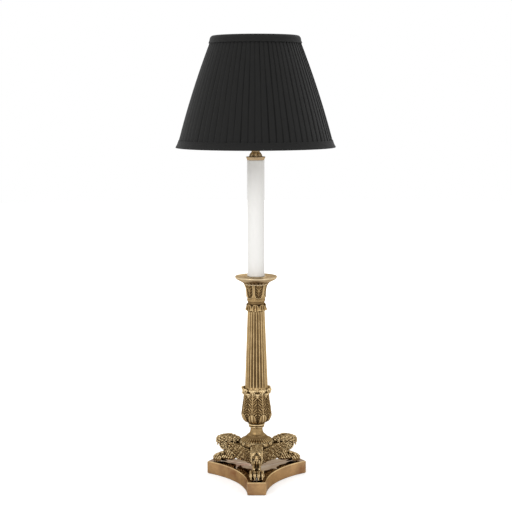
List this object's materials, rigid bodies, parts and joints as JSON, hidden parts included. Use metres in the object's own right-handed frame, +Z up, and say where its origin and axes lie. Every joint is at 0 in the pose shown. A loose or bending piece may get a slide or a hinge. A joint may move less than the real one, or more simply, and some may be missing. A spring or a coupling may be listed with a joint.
{
  "type": "candle table lamp",
  "caption": "Table lamp with a fluted bronze candlestick on three scrolled paw feet and a hollow-sided plinth, a candle sleeve and a pleated dark drum shade.",
  "frame": {"origin": "on the lamp's axis at the table, at the centre of the felt under the plinth", "axes": "+Z up along the stem, -Y towards the front leg, +X to the right of a viewer in front"},
  "size_m": [0.2798, 0.28, 0.7902],
  "materials": {
    "felt": "dense dark brown felt",
    "plinth_bronze": "polished and lacquered brown bronze with brushed golden edges",
    "gilt_bronze": "cast bronze with worn antique gilding, dark in the recesses",
    "candle_ivory": "satin ivory enamel",
    "holder_brass": "plain lacquered brass",
    "steel": "bright zinc plated steel",
    "rubber_black": "matt black rubber",
    "ceramic_white": "glazed white ceramic",
    "bulb_nickel": "plain rolled metal",
    "seal_black": "black glass",
    "bulb_glass": "frosted glass",
    "ring_black": "moulded black plastic",
    "shade_cloth": "pleated black silk",
    "lining_ivory": "smooth ivory lining",
    "frame_wire": "white painted steel wire"
  },
  "bodies": {
    "lamp": {"base_felt": "felt", "plinth": "plinth_bronze", "cord_bush": "rubber_black", "leg_screws": "steel", "winged_hub": "gilt_bronze", "bead_ring": "gilt_bronze", "gadroon_dome": "gilt_bronze", "neck": "gilt_bronze", "calyx": "gilt_bronze", "fluted_column": "gilt_bronze", "leaf_collar": "gilt_bronze", "capital": "gilt_bronze", "drip_pan": "gilt_bronze", "candle_sleeve": "candle_ivory", "candle_cap": "gilt_bronze", "threaded_rod": "steel", "base_washer": "steel", "base_nut": "steel", "holder_base": "holder_brass", "holder_skirt": "holder_brass", "holder_insulator": "ceramic_white", "screw_shell": "holder_brass", "centre_contact": "holder_brass", "leg_front": "gilt_bronze", "leg_right": "gilt_bronze", "leg_left": "gilt_bronze"},
    "lower_ring": {"lower_shade_ring": "ring_black"},
    "upper_ring": {"upper_shade_ring": "ring_black"},
    "shade": {"fitter_ring": "frame_wire", "fitter_arm_1": "frame_wire", "fitter_arm_2": "frame_wire", "fitter_arm_3": "frame_wire", "bottom_wire_ring": "frame_wire", "top_wire_ring": "frame_wire", "strut_1": "frame_wire", "strut_2": "frame_wire", "strut_3": "frame_wire", "strut_4": "frame_wire", "strut_5": "frame_wire", "strut_6": "frame_wire", "shade_lining": "lining_ivory", "shade_cover": "shade_cloth", "top_trim": "shade_cloth", "bottom_trim": "shade_cloth"},
    "bulb": {"bulb_contact": "bulb_nickel", "bulb_seal": "seal_black", "bulb_cap": "bulb_nickel", "bulb_glass": "bulb_glass"}
  },
  "joints": [
    {"name": "lower_ring_turn", "type": "hinge", "parent": "lamp", "child": "lower_ring", "pos_m": [0, 0, 0.6255], "axis": [0, 0, 1], "continuous": true},
    {"name": "shade_lift", "type": "slide", "parent": "lamp", "child": "upper_ring", "axis": [0, 0, 1], "range_m": [0, 0.15]},
    {"name": "shade_turn", "type": "hinge", "parent": "upper_ring", "child": "shade", "pos_m": [0, 0, 0.6292], "axis": [0, 0, 1], "continuous": true},
    {"name": "bulb_lift", "type": "slide", "parent": "lamp", "child": "bulb", "axis": [0, 0, 1], "range_m": [0, 0.035]}
  ]
}
